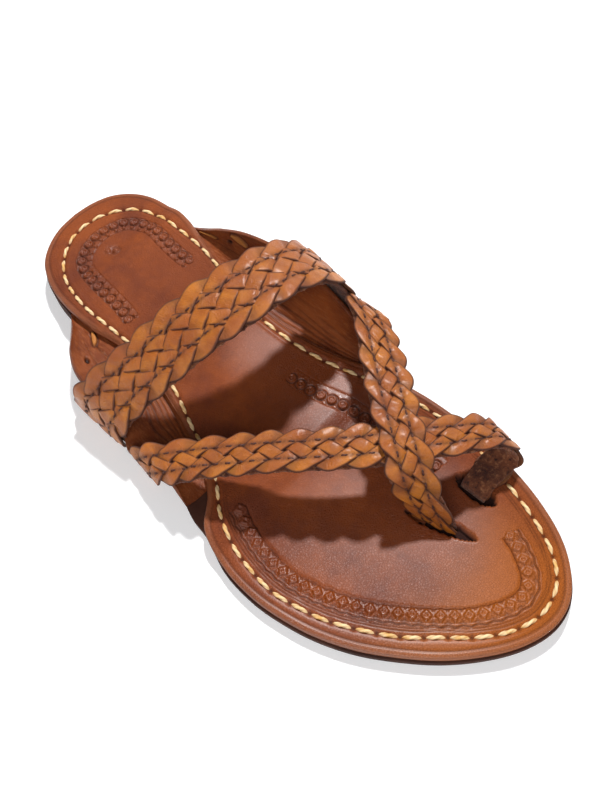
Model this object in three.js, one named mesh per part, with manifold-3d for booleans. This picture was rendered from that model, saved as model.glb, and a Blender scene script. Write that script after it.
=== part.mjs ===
// Kolhapuri sandal, right foot, in millimetres, +Z up.
// Origin: on the floor under the middle of the heel. Toe points to -Y, big-toe side is +X.
// A flat hand-made leather sandal: heel lift, outsole, two side flaps ("ears") held between
// outsole and insole, insole, and one upper of three braided straps that join where they meet.

import * as THREE from 'three';
import { mergeVertices } from 'three/addons/utils/BufferGeometryUtils.js';
import Module from 'manifold-3d';

const wasm = await Module();
wasm.setup();

// ---------------------------------------------------------------- driving dimensions

const GAP = 0.3; // free space kept between neighbouring pieces

const HEEL_LIFT_HEIGHT = 5.0;
const OUTSOLE_THICKNESS = 3.0;
const INSOLE_THICKNESS = 3.0;
const EAR_THICKNESS = 1.9;
const STRAP_THICKNESS = 3.2; // braided leather on its lining
const WELT = 0.7; // how far the outsole stands out past the insole

// Lengthwise stations of the sole's side profile.
const SHANK_REAR = -40; // the outsole leaves the heel lift's height here
const SHANK_FRONT = -106; // and is down on the floor here
const HEEL_LIFT_FRONT = -48;
const TOE_SPRING_START = -206;
const TOE_SPRING_RISE = 1.6;
const TOE_END = -235;

// Stretch over which the ears lie between outsole and insole.
const EAR_LAYER_REAR = 2;
const EAR_LAYER_FRONT = -134;
const EAR_LAYER_RAMP = 10;
const EAR_CENTRE_LINE = -5;
const ROOT_CLEARANCE = 0.9; // from the insole's edge out to where an ear starts to curl

// Insole outline: a row for each rib across the foot, from the back of the heel to the toe.
const INSOLE_RIBS = [
  { lateral: [3, 31], medial: [3, 31] },
  { lateral: [-7, 29.6], medial: [12, 30] },
  { lateral: [-16, 25.6], medial: [21, 26.6] },
  { lateral: [-23.3, 19.5], medial: [28, 20] },
  { lateral: [-28.2, 11], medial: [32, 12] },
  { lateral: [-31.2, 1], medial: [33.5, 2] },
  { lateral: [-33, -11], medial: [33.2, -10] },
  { lateral: [-33, -26], medial: [30.5, -22] },
  { lateral: [-31, -41], medial: [25, -38] },
  { lateral: [-31.5, -60], medial: [20.5, -58] },
  { lateral: [-36.5, -81], medial: [20, -77] },
  { lateral: [-43.5, -100], medial: [22, -97] },
  { lateral: [-52, -113], medial: [26, -115] },
  { lateral: [-62, -122], medial: [30.5, -131] },
  { lateral: [-67, -137], medial: [32.5, -144] },
  { lateral: [-68, -152], medial: [33, -157] },
  { lateral: [-66.5, -164], medial: [32.5, -169] },
  { lateral: [-63.5, -176], medial: [30.5, -182] },
  { lateral: [-58, -189], medial: [28, -194] },
  { lateral: [-50.5, -201], medial: [24, -206] },
  { lateral: [-41.5, -212.5], medial: [18.5, -217] },
  { lateral: [-31.5, -222], medial: [11, -226] },
  { lateral: [-21, -229.5], medial: [1.5, -232.5] },
  { lateral: [-9, -234], medial: [-9, -234] },
];

// Waist of the outsole, a little wider than the insole, which is trimmed in over the ears.
const OUTSOLE_WAIST = [
  { y: -13, lateral: -34.5, medial: 33.5 },
  { y: -26, lateral: -37, medial: 31 },
  { y: -41, lateral: -41, medial: 29 },
  { y: -60, lateral: -46, medial: 28 },
  { y: -81, lateral: -50, medial: 28.5 },
  { y: -100, lateral: -56, medial: 30 },
  { y: -113, lateral: -61, medial: 31.5 },
];

// Side flaps: where each leaves the insole's edge (root) and where its free edge stands.
const LATERAL_EAR = [
  { y: -11, root: -31, edge: -33.4, top: 9.6 },
  { y: -20, root: -34, edge: -39.5, top: 12.5 },
  { y: -30, root: -33, edge: -47, top: 16 },
  { y: -40, root: -31.5, edge: -52, top: 16.5 },
  { y: -52, root: -31.8, edge: -53.6, top: 16.5 },
  { y: -64, root: -33, edge: -53.8, top: 15.5 },
  { y: -76, root: -36, edge: -54.4, top: 12.6 },
  { y: -88, root: -40, edge: -55.8, top: 10.2 },
  { y: -100, root: -44.5, edge: -57.8, top: 8.5 },
  { y: -110, root: -50.5, edge: -60, top: 6.8 },
];
const MEDIAL_EAR = [
  { y: -14, root: 32, edge: 33, top: 9.8 },
  { y: -22, root: 31, edge: 33.8, top: 13.5 },
  { y: -32, root: 28, edge: 34.8, top: 18 },
  { y: -44, root: 24, edge: 36.2, top: 23.5 },
  { y: -56, root: 22, edge: 36.6, top: 27 },
  { y: -68, root: 21, edge: 36.8, top: 28.5 },
  { y: -80, root: 21, edge: 36.8, top: 28 },
  { y: -92, root: 22.5, edge: 36.6, top: 26 },
  { y: -104, root: 24.5, edge: 36, top: 22 },
  { y: -114, root: 27, edge: 35, top: 16 },
  { y: -121, root: 29.5, edge: 33.4, top: 8 },
];

// Straps: a row for each section, with the two edges of the strap's outer face [x, y, z].
// The band and the loop strap run from the lateral side, the post strap from the toe up.
const INSTEP_BAND = [
  { front: [-59.6, -70, 4.5], rear: [-58.8, -42, 4.5] },
  { front: [-59.6, -72.5, 11.5], rear: [-59.2, -44, 12.5] },
  { front: [-57, -75.5, 18.5], rear: [-56.8, -47.5, 21] },
  { front: [-49, -79.5, 26], rear: [-48, -53, 30] },
  { front: [-40, -84.5, 34.5], rear: [-37.5, -58.5, 37.5] },
  { front: [-29.5, -89.5, 42.5], rear: [-25.5, -62.5, 44] },
  { front: [-18, -94.5, 49.5], rear: [-12.5, -67, 50] },
  { front: [-6, -99, 53.5], rear: [1, -71, 53.5] },
  { front: [6, -101, 54.5], rear: [13, -74.5, 54.5] },
  { front: [18, -102, 52], rear: [24.5, -76.5, 52] },
  { front: [29.5, -103.5, 46], rear: [34.5, -78.5, 46] },
  { front: [38, -105, 35], rear: [41.5, -80.5, 35] },
  { front: [41.5, -106, 20], rear: [43, -80.5, 20] },
  { front: [40.2, -105.5, 5], rear: [40.6, -80, 5] },
];
const TOE_LOOP_STRAP = [
  { front: [-61, -95, 5], rear: [-60, -79, 5] },
  { front: [-62.8, -99, 11.5], rear: [-60.8, -80, 13] },
  { front: [-60, -105.5, 18.5], rear: [-54, -86, 18.5] },
  { front: [-53, -112.5, 22.5], rear: [-42, -100, 23] },
  { front: [-44.5, -123, 26], rear: [-32, -112.5, 27] },
  { front: [-36.5, -132.5, 29], rear: [-24, -122, 29.5] },
  { front: [-28, -142.5, 30.5], rear: [-15.5, -132, 31] },
  { front: [-18, -153.5, 31.4], rear: [-5.5, -142, 31.5] },
  { front: [-7.5, -163.5, 31.2], rear: [4.5, -151, 31.6] },
  { front: [4, -172, 30], rear: [15, -160, 30.8] },
  { front: [13.5, -178.5, 28], rear: [24, -167, 28] },
  { front: [22, -183.5, 26], rear: [29.5, -171.5, 26] },
  { front: [29, -187.5, 21.5], rear: [33, -174.5, 21.5] },
  { front: [32.5, -190.5, 14.5], rear: [34.5, -176, 14.5] },
  { front: [30.5, -192, 8.6], rear: [31.5, -176.5, 8.6] },
  { front: [25, -192.3, 6.9], rear: [25, -176.7, 6.9] },
  { front: [18.5, -192.3, 6.9], rear: [18.5, -176.7, 6.9] },
  { front: [15.2, -192.2, 5.8], rear: [15.2, -176.8, 5.8] },
  { front: [14.5, -192.2, 3.8], rear: [14.5, -176.8, 3.8] },
];
const TOE_POST_STRAP = [
  { rear: [-9.5, -173, 3.8], front: [-4.4, -190.5, 3.8] },
  { rear: [-10.8, -172, 12], front: [-4.3, -187.5, 12] },
  { rear: [-12.8, -169.5, 20], front: [-2, -181, 20.5] },
  { rear: [-13, -166, 28.5], front: [2.5, -174.5, 28.5] },
  { rear: [-9, -160.5, 33.6], front: [6, -168, 33.6] },
  { rear: [-3, -152.5, 34.2], front: [11.5, -160.5, 34.0] },
  { rear: [4, -142.5, 35], front: [18, -152.5, 34.3] },
  { rear: [12, -133, 35.5], front: [24.5, -144.5, 33.6] },
  { rear: [20, -123.5, 35.8], front: [29.5, -137, 33.2] },
  { rear: [28.5, -114, 35.5], front: [34, -130, 32.8] },
  { rear: [35.6, -104, 33.5], front: [38, -123, 31] },
  { rear: [40.6, -102.5, 25], front: [41.2, -121.5, 24.5] },
  { rear: [42, -104.5, 15], front: [42, -123.5, 15] },
  { rear: [39.4, -108, 5], front: [38, -125.5, 5] },
];

// Slits in the insole that the toe post and the toe loop go down through.
const POST_SLIT = { centre: [-5.1, -182.5], length: 25, width: 4.4, turn: 0.284 };
const LOOP_SLIT = { centre: [13.4, -184.5], length: 18, width: 6.4, turn: 0 };

// ---------------------------------------------------------------- small tools

function smoothStep(edge0, edge1, x) {
  const t = THREE.MathUtils.clamp((x - edge0) / (edge1 - edge0), 0, 1);
  return t * t * (3 - 2 * t);
}

// Smooth value of one column of a table at y, rows ordered from heel to toe.
function column(rows, name, y) {
  const points = rows.map((row) => new THREE.Vector3(-row.y, row[name], 0));
  const n = points.length - 1;
  let i = 0;
  while (i < n - 1 && -y > points[i + 1].x) {
    i += 1;
  }
  const a = points[i];
  const b = points[i + 1];
  const before = points[Math.max(i - 1, 0)];
  const after = points[Math.min(i + 2, n)];
  const slopeA = (b.y - before.y) / (b.x - before.x);
  const slopeB = (after.y - a.y) / (after.x - a.x);
  const h = b.x - a.x;
  const t = THREE.MathUtils.clamp((-y - a.x) / h, 0, 1);
  const t2 = t * t;
  const t3 = t2 * t;
  return (2 * t3 - 3 * t2 + 1) * a.y + (t3 - 2 * t2 + t) * h * slopeA
    + (3 * t2 - 2 * t3) * b.y + (t3 - t2) * h * slopeB;
}

// Closed solid from rings of points: each ring has the same count, both ends are capped.
function skin(rings) {
  const count = rings[0].length;
  const positions = rings.flat().flatMap((p) => [p.x, p.y, p.z]);
  const index = [];
  for (let i = 0; i < rings.length - 1; i += 1) {
    for (let j = 0; j < count; j += 1) {
      const a = i * count + j;
      const b = i * count + ((j + 1) % count);
      index.push(a, b, b + count, a, b + count, a + count);
    }
  }
  const last = (rings.length - 1) * count;
  for (let j = 0; j < count / 2 - 1; j += 1) {
    const k = count - 1 - j;
    index.push(j, k, j + 1, j + 1, k, k - 1);
    index.push(last + j, last + j + 1, last + k, last + j + 1, last + k - 1, last + k);
  }
  return closedGeometry(positions, index);
}

// Six times the volume that the triangles enclose, negative when they face inwards.
function signedVolume(positions, index) {
  const corner = (i) => new THREE.Vector3().fromArray(positions, 3 * index[i]);
  let sum = 0;
  for (let i = 0; i < index.length; i += 3) {
    sum += corner(i).dot(corner(i + 1).cross(corner(i + 2)));
  }
  return sum;
}

// Indexed geometry facing out, with shared vertices and no collapsed triangles.
function closedGeometry(positions, index) {
  const raw = new THREE.BufferGeometry();
  raw.setAttribute('position', new THREE.Float32BufferAttribute(positions, 3));
  raw.setIndex(index);
  const merged = mergeVertices(raw, 1e-4);
  const kept = [];
  const all = merged.index.array;
  for (let i = 0; i < all.length; i += 3) {
    const [a, b, c] = [all[i], all[i + 1], all[i + 2]];
    if (a !== b && b !== c && c !== a) {
      kept.push(a, b, c);
    }
  }
  const facesOut = signedVolume(merged.attributes.position.array, kept) > 0;
  merged.setIndex(facesOut ? kept : kept.reverse());
  return merged;
}

function toManifold(geometry) {
  const bare = geometry.clone();
  bare.deleteAttribute('normal');
  bare.deleteAttribute('uv');
  const merged = mergeVertices(bare, 1e-4);
  return new wasm.Manifold(new wasm.Mesh({
    numProp: 3,
    vertProperties: new Float32Array(merged.attributes.position.array),
    triVerts: new Uint32Array(merged.index.array),
  }));
}

function fromManifold(solid) {
  const mesh = solid.getMesh();
  const geometry = new THREE.BufferGeometry();
  geometry.setAttribute('position', new THREE.BufferAttribute(mesh.vertProperties, 3));
  geometry.setIndex(new THREE.BufferAttribute(mesh.triVerts, 1));
  return geometry;
}

// ---------------------------------------------------------------- side profile of the sole

// Underside of the outsole at a station y: on the lift at the heel, bridging the arch,
// flat on the floor under the ball of the foot, and sprung up a little at the toe.
function outsoleBottom(y) {
  const arch = (HEEL_LIFT_HEIGHT + GAP) * smoothStep(SHANK_FRONT, SHANK_REAR, y);
  const spring = Math.max(0, (TOE_SPRING_START - y) / (TOE_SPRING_START - TOE_END));
  return arch + TOE_SPRING_RISE * spring * spring;
}

function outsoleTop(y) {
  return outsoleBottom(y) + OUTSOLE_THICKNESS;
}

function insoleBottom(y) {
  const rear = smoothStep(EAR_LAYER_REAR, EAR_LAYER_REAR - EAR_LAYER_RAMP, y);
  const front = smoothStep(EAR_LAYER_FRONT, EAR_LAYER_FRONT + EAR_LAYER_RAMP, y);
  return outsoleTop(y) + GAP + (EAR_THICKNESS + GAP) * rear * front;
}

function insoleTop(y) {
  return insoleBottom(y) + INSOLE_THICKNESS;
}

// ---------------------------------------------------------------- sole layers

// Smooth ribs [lateral, medial] through a rib table, closest together at heel and toe.
function ribsThrough(rows, steps) {
  const toCurve = (side) => new THREE.CatmullRomCurve3(
    rows.map((row) => new THREE.Vector3(row[side][0], row[side][1], 0)),
    false,
    'centripetal',
  );
  const lateral = toCurve('lateral');
  const medial = toCurve('medial');
  const ribs = [];
  for (let i = 0; i <= steps; i += 1) {
    ribs.push([lateral.getPoint(i / steps), medial.getPoint(i / steps)]);
  }
  return ribs;
}

// A flat layer between two height functions, as rings round each rib.
function layer(ribs, bottomAt, topAt, across) {
  const rings = ribs.map(([lateral, medial]) => {
    const spots = [];
    for (let j = 0; j <= across; j += 1) {
      spots.push(new THREE.Vector3().lerpVectors(lateral, medial, j / across));
    }
    const top = spots.map((p) => new THREE.Vector3(p.x, p.y, topAt(p.y)));
    const bottom = spots.map((p) => new THREE.Vector3(p.x, p.y, bottomAt(p.y))).reverse();
    return [...top, ...bottom];
  });
  return skin(rings);
}

// The insole's outline let out by the welt, with the outsole's own waist.
function outsoleRibs() {
  const middle = new THREE.Vector2(-10, -90);
  return INSOLE_RIBS.map((row) => {
    const y = row.lateral[1];
    const inWaist = y < -12 && y > -114;
    if (inWaist) {
      return {
        lateral: [column(OUTSOLE_WAIST, 'lateral', y), y],
        medial: [column(OUTSOLE_WAIST, 'medial', y), row.medial[1]],
      };
    }
    const letOut = ([px, py]) => {
      const away = new THREE.Vector2(px - middle.x, (py - middle.y) * 0.6).normalize();
      return [px + away.x * WELT, py + away.y * WELT];
    };
    return { lateral: letOut(row.lateral), medial: letOut(row.medial) };
  });
}

function slit({ centre, length, width, turn }) {
  const box = new THREE.BoxGeometry(width, length, 20);
  box.rotateZ(turn);
  box.translate(centre[0], centre[1], 6);
  return toManifold(box);
}

function makeInsole() {
  const sheet = toManifold(layer(ribsThrough(INSOLE_RIBS, 60), insoleBottom, insoleTop, 6));
  return fromManifold(sheet.subtract(slit(POST_SLIT)).subtract(slit(LOOP_SLIT)));
}

function makeOutsole() {
  return layer(ribsThrough(outsoleRibs(), 60), outsoleBottom, outsoleTop, 4);
}

function makeHeelLift() {
  const ribs = ribsThrough(outsoleRibs(), 66).filter(([lateral]) => lateral.y > HEEL_LIFT_FRONT);
  return layer(ribs, () => 0, () => HEEL_LIFT_HEIGHT, 4);
}

// ---------------------------------------------------------------- ears

// One flap: flat between the soles from the centre line out to its root, then curling up.
function makeEar(rows, side, steepness) {
  const stations = 30;
  const flat = 3;
  const rise = 7;
  const first = rows[0].y;
  const last = rows[rows.length - 1].y;
  const rings = [];
  for (let i = 0; i <= stations; i += 1) {
    const y = THREE.MathUtils.lerp(first, last, i / stations);
    const bed = outsoleTop(y) + GAP + EAR_THICKNESS / 2;
    const root = column(rows, 'root', y) + side * ROOT_CLEARANCE;
    const edge = column(rows, 'edge', y);
    const top = Math.max(column(rows, 'top', y), bed);
    const middle = EAR_CENTRE_LINE + side * GAP / 2;
    const line = [];
    for (let j = 0; j < flat; j += 1) {
      line.push(new THREE.Vector2(THREE.MathUtils.lerp(middle, root, j / flat), bed));
    }
    const knee = new THREE.Vector2(THREE.MathUtils.lerp(root, edge, steepness), bed);
    const curl = new THREE.QuadraticBezierCurve(
      new THREE.Vector2(root, bed), knee, new THREE.Vector2(edge, top),
    );
    line.push(...curl.getPoints(rise));
    rings.push(sheetRing(line, y, EAR_THICKNESS, side));
  }
  return skin(rings);
}

// Ring round a sheet's section: the line thickened to both sides at right angles.
function sheetRing(line, y, thickness, side) {
  const upper = [];
  const lower = [];
  line.forEach((point, j) => {
    const before = line[Math.max(j - 1, 0)];
    const after = line[Math.min(j + 1, line.length - 1)];
    const along = after.clone().sub(before).normalize();
    const up = new THREE.Vector2(-along.y, along.x).multiplyScalar(side * thickness / 2);
    upper.push(new THREE.Vector3(point.x + up.x, y, point.y + up.y));
    lower.push(new THREE.Vector3(point.x - up.x, y, point.y - up.y));
  });
  return [...upper, ...lower.reverse()];
}

// ---------------------------------------------------------------- straps

// A strap swept between the two edge curves of its outer face, with a rounded flat section.
function makeStrap(rows, stations) {
  const toCurve = (edge) => new THREE.CatmullRomCurve3(
    rows.map((row) => new THREE.Vector3(...row[edge])),
    false,
    'catmullrom',
    0.5,
  );
  const front = toCurve('front');
  const rear = toCurve('rear');
  const middleAt = (t) => front.getPoint(t).add(rear.getPoint(t)).multiplyScalar(0.5);
  const sides = 14;
  const rings = [];
  for (let i = 0; i <= stations; i += 1) {
    const t = i / stations;
    const middle = middleAt(t);
    const half = rear.getPoint(t).sub(front.getPoint(t)).multiplyScalar(0.5);
    const along = middleAt(Math.min(t + 0.004, 1)).sub(middleAt(Math.max(t - 0.004, 0)));
    const out = along.cross(half).normalize();
    const ring = [];
    for (let k = 0; k < sides; k += 1) {
      const angle = (2 * Math.PI * (k + 0.5)) / sides;
      const across = Math.sign(Math.cos(angle)) * Math.abs(Math.cos(angle)) ** 0.45;
      const lift = Math.sign(Math.sin(angle)) * Math.abs(Math.sin(angle)) ** 0.7;
      ring.push(middle.clone()
        .addScaledVector(half, across)
        .addScaledVector(out, (lift - 1) * STRAP_THICKNESS / 2));
    }
    rings.push(ring);
  }
  return toManifold(skin(rings));
}

function makeUpper() {
  const band = makeStrap(INSTEP_BAND, 44);
  const loop = makeStrap(TOE_LOOP_STRAP, 60);
  const post = makeStrap(TOE_POST_STRAP, 48);
  return fromManifold(band.add(loop).add(post));
}

// ---------------------------------------------------------------- assembly

const TAN_BRAID = { color: 0xb5692a, roughness: 0.38 };
const BROWN_INSOLE = { color: 0x8a4a2c, roughness: 0.42 };
const BROWN_FLAP = { color: 0x6b2f1b, roughness: 0.45 };
const DARK_SOLE = { color: 0x3a1f18, roughness: 0.6 };

function piece(name, geometry, { color, roughness }) {
  const flatSided = geometry.toNonIndexed();
  flatSided.computeVertexNormals();
  const material = new THREE.MeshStandardMaterial({ color, roughness, metalness: 0 });
  const mesh = new THREE.Mesh(flatSided, material);
  mesh.name = name;
  return mesh;
}

const sandal = new THREE.Group();
sandal.name = 'kolhapuri_sandal';
sandal.add(
  piece('heel_lift', makeHeelLift(), DARK_SOLE),
  piece('outsole', makeOutsole(), DARK_SOLE),
  piece('ear_lateral', makeEar(LATERAL_EAR, -1, 0.55), BROWN_FLAP),
  piece('ear_medial', makeEar(MEDIAL_EAR, 1, 0.92), BROWN_FLAP),
  piece('insole', makeInsole(), BROWN_INSOLE),
  piece('upper', makeUpper(), TAN_BRAID),
);

export default sandal;
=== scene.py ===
import math

import bmesh
import bpy
import numpy as np
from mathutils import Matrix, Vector, kdtree


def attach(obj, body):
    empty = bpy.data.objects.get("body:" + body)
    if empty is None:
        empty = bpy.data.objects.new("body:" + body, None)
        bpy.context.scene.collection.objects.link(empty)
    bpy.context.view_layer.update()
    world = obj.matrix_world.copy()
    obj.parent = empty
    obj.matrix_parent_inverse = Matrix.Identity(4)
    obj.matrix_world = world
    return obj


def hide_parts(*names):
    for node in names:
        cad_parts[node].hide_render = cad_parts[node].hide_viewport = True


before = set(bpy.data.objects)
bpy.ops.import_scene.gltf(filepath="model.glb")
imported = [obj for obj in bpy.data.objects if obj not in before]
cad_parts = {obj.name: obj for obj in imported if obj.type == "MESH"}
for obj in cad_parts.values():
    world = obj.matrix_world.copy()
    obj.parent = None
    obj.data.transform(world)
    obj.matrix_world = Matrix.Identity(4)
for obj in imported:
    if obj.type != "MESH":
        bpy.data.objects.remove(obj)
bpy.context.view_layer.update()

# ---- outsole
# The bottom of the sandal, cut from thick bark-tanned leather to a little beyond the insole.
# Its knife-cut edge is dyed dark brown and rubbed with wax; the underside stays raw and
# scuffed, with a channel cut along it for the thread.

# Sizes are in millimetres.
MM = 0.001
LIFT_HEIGHT = 5.0
OUTSOLE_THICKNESS = 3.0
INSOLE_THICKNESS = 3.0
PLY_GAP = 0.3
EAR_THICKNESS = 1.9
WELT = 0.7
# Ends of the middle line that the outline's points face.
SPINE_HEEL, SPINE_TOE = 4, -196
# Width over which the toe is rounded, and levels of y where this starts and is full.
TOE_ROUNDING, ROUND_FROM, ROUND_FULL = 5, -219, -230
TOE_SPRING, SPRING_FROM, SPRING_REACH = 1.6, -206, 29
# Levels of y where the sole rises on to the heel lift, and the waist's two ends.
RISE_FROM, RISE_TO = -106, -40
WAIST_TOE, WAIST_HEEL = -114, -12
# Levels of y where the insole climbs on to the ears, at the heel and at the ball.
HEEL_CLIMB, BALL_CLIMB = (2, -8), (-134, -124)
SOLE_MIDDLE = (-10, -90)
CHANNEL_DEPTH, AWL_DEPTH = 0.55, 0.5

# Ribs of the insole from heel to toe: lateral x, y and medial x, y.
INSOLE_RIBS = [
    (3, 31, 3, 31), (-7, 29.6, 12, 30), (-16, 25.6, 21, 26.6), (-23.3, 19.5, 28, 20),
    (-28.2, 11, 32, 12), (-31.2, 1, 33.5, 2), (-33, -11, 33.2, -10), (-33, -26, 30.5, -22),
    (-31, -41, 25, -38), (-31.5, -60, 20.5, -58), (-36.5, -81, 20, -77),
    (-43.5, -100, 22, -97), (-52, -113, 26, -115), (-62, -122, 30.5, -131),
    (-67, -137, 32.5, -144), (-68, -152, 33, -157), (-66.5, -164, 32.5, -169),
    (-63.5, -176, 30.5, -182), (-58, -189, 28, -194), (-50.5, -201, 24, -206),
    (-41.5, -212.5, 18.5, -217), (-31.5, -222, 11, -226), (-21, -229.5, 1.5, -232.5),
    (-9, -234, -9, -234),
]
# The outsole's own waist, a little wider than the insole: y, lateral x, medial x.
OUTSOLE_WAIST = [
    (-13, -34.5, 33.5), (-26, -37, 31), (-41, -41, 29), (-60, -46, 28), (-81, -50, 28.5),
    (-100, -56, 30), (-113, -61, 31.5),
]


def smooth(low, high, x):
    """Share from 0 at low to 1 at high, easing at both ends."""
    t = np.clip((x - low) / (high - low), 0, 1)
    return t * t * (3 - 2 * t)


def spline(points, t, centripetal=False):
    """Points at shares t of a smooth curve through given points."""
    p = np.asarray(points, float)
    ends = np.vstack([2 * p[0] - p[1], p, 2 * p[-1] - p[-2]])
    last = len(p) - 1
    where = np.clip(t, 0, 1) * last
    i = np.minimum(where.astype(int), last - 1)
    w = (where - i)[:, None]
    a, b, c, d = ends[i], ends[i + 1], ends[i + 2], ends[i + 3]
    slope_b, slope_c = (c - a) / 2, (d - b) / 2
    if centripetal:
        r, s, q = (np.linalg.norm(x, axis=1)[:, None] ** 0.5 for x in (b - a, c - b, d - c))
        slope_b = ((b - a) / r - (c - a) / (r + s) + (c - b) / s) * s
        slope_c = ((c - b) / s - (d - b) / (s + q) + (d - c) / q) * s
    return (
        (2 * w**3 - 3 * w**2 + 1) * b + (w**3 - 2 * w**2 + w) * slope_b
        + (3 * w**2 - 2 * w**3) * c + (w**3 - w**2) * slope_c
    )


def lengths(line):
    """Length run up to each point of a line."""
    return np.r_[0, np.cumsum(np.linalg.norm(np.diff(line, axis=0), axis=1))]


def along(line, s):
    """Points at lengths s of a line."""
    run = lengths(line)
    return np.column_stack([np.interp(s, run, line[:, k]) for k in range(line.shape[1])])


def both_edges(ribs, t):
    """Lateral and medial edge of a sole at shares t of the way from heel to toe."""
    rows = np.asarray(ribs, float)
    return spline(rows[:, :2], t, True), spline(rows[:, 2:], t, True)


def outline(ribs, step):
    """Loop of the outline and the spine point that each outline point faces."""
    t = np.linspace(0, 1, 3000)
    lateral, medial = both_edges(ribs, t)
    run = np.maximum(lengths(lateral), lengths(medial))
    at = np.interp(np.linspace(0, run[-1], int(run[-1] / step)), run, t)
    lateral, medial = both_edges(ribs, at)
    middle = (lateral + medial) / 2
    first = int(np.argmax(middle[:, 1] < SPINE_HEEL))
    final = int(np.argmax(middle[:, 1] < SPINE_TOE))
    spine = middle[np.clip(np.arange(len(at)), first, final)]
    loop, spine = np.vstack([lateral, medial[-2:0:-1]]), np.vstack([spine, spine[-2:0:-1]])
    # The two sides run into one another round the toe with no corner.
    reach = int(2.6 * TOE_ROUNDING / step)
    kernel = np.exp(-0.5 * (np.arange(-reach, reach + 1) * step / TOE_ROUNDING) ** 2)
    padded = np.vstack([loop[-reach:], loop, loop[:reach]])
    rounded = np.column_stack([
        np.convolve(padded[:, k], kernel / kernel.sum(), "valid") for k in (0, 1)
    ])
    share = smooth(ROUND_FROM, ROUND_FULL, loop[:, 1])[:, None]
    return loop + (rounded - loop) * share, spine


def outsole_bottom(y):
    """Level of the underside: flat at the ball, raised at the heel and a little at the toe."""
    spring = np.maximum(0, (SPRING_FROM - y) / SPRING_REACH)
    rise = smooth(RISE_FROM, RISE_TO, y)
    return (LIFT_HEIGHT + PLY_GAP) * rise + TOE_SPRING * spring**2


def outsole_top(y):
    return outsole_bottom(y) + OUTSOLE_THICKNESS


def insole_top(y):
    """Level of the insole's face, which the ears below it lift along the waist."""
    ears = smooth(*HEEL_CLIMB, y) * smooth(*BALL_CLIMB, y)
    return outsole_top(y) + PLY_GAP + (EAR_THICKNESS + PLY_GAP) * ears + INSOLE_THICKNESS


def outsole_ribs():
    """Ribs of the outsole: its own at the waist, and elsewhere the insole's plus a welt."""
    waist = np.asarray(OUTSOLE_WAIST, float)
    rows = []
    for lx, ly, mx, my in INSOLE_RIBS:
        if WAIST_TOE < ly < WAIST_HEEL:
            lx, mx = (float(np.interp(-ly, -waist[:, 0], waist[:, k])) for k in (1, 2))
            rows.append((lx, ly, mx, my))
        else:
            row = []
            for x, y in ((lx, ly), (mx, my)):
                away = Vector((x - SOLE_MIDDLE[0], (y - SOLE_MIDDLE[1]) * 0.6)).normalized()
                row += [x + away.x * WELT, y + away.y * WELT]
            rows.append(tuple(row))
    return rows


def new_mesh(*marks):
    """An empty mesh whose points can carry the named marks."""
    bm = bmesh.new()
    for mark in marks:
        bm.verts.layers.float.new(mark)
    return bm


def lay_grid(bm, columns, rows, place):
    """A grid laid where place(u, v) says, with u and v from 0 to 1. Marks follow by name."""
    verts = bmesh.ops.create_grid(bm, x_segments=columns, y_segments=rows, size=1)["verts"]
    flat = np.array([v.co for v in verts])
    spots, marks = place((flat[:, 0] + 1) / 2, (flat[:, 1] + 1) / 2)
    for vert, spot in zip(verts, (spots * MM).tolist()):
        vert.co = spot
    for mark, values in marks.items():
        layer = bm.verts.layers.float[mark]
        for vert, value in zip(verts, values.tolist()):
            vert[layer] = value
    return verts


def plate(bm, loop, spine, rings, height):
    """Rings round an outline: each has an inset in mm, a share of the way on to the spine,
    and a level that height(x, y, inset, level) turns into z and marks."""
    count = len(loop)
    table = np.asarray(rings, float)
    reach = spine - loop
    size = np.linalg.norm(reach, axis=1)

    def place(u, v):
        i = np.rint(u * count).astype(int) % count
        k = np.rint(v * (len(table) - 1)).astype(int)
        inset, share, level = table[k].T
        inset = np.minimum(inset, 0.5 * size[i])
        into = (inset + share * (size[i] - inset)) / size[i]
        spot = loop[i] + reach[i] * into[:, None]
        z, marks = height(spot[:, 0], spot[:, 1], inset, level)
        return np.column_stack([spot, z]), marks

    return lay_grid(bm, count, len(table) - 1, place)


def edge_drop(inset, radius):
    """Fall of a rounded edge at a distance in from the side."""
    in_round = np.clip(radius - inset, 0, radius)
    return radius - np.sqrt(radius**2 - in_round**2)


def finish_piece(bm, name, material, slot, *nodes, weld=0.004, closed=True):
    """Welds, turns a closed piece's faces outwards, shades smooth and ties the piece to the frame.
    """
    bmesh.ops.remove_doubles(bm, verts=bm.verts[:], dist=weld * MM)
    if closed:
        bmesh.ops.recalc_face_normals(bm, faces=bm.faces[:])
    mesh = bpy.data.meshes.new(name)
    bm.to_mesh(mesh)
    bm.free()
    mesh.shade_smooth()
    mesh.materials.append(material)
    piece = bpy.data.objects.new(name, mesh)
    bpy.context.scene.collection.objects.link(piece)
    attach(piece, "root")
    if nodes:
        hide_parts(*nodes)


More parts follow.
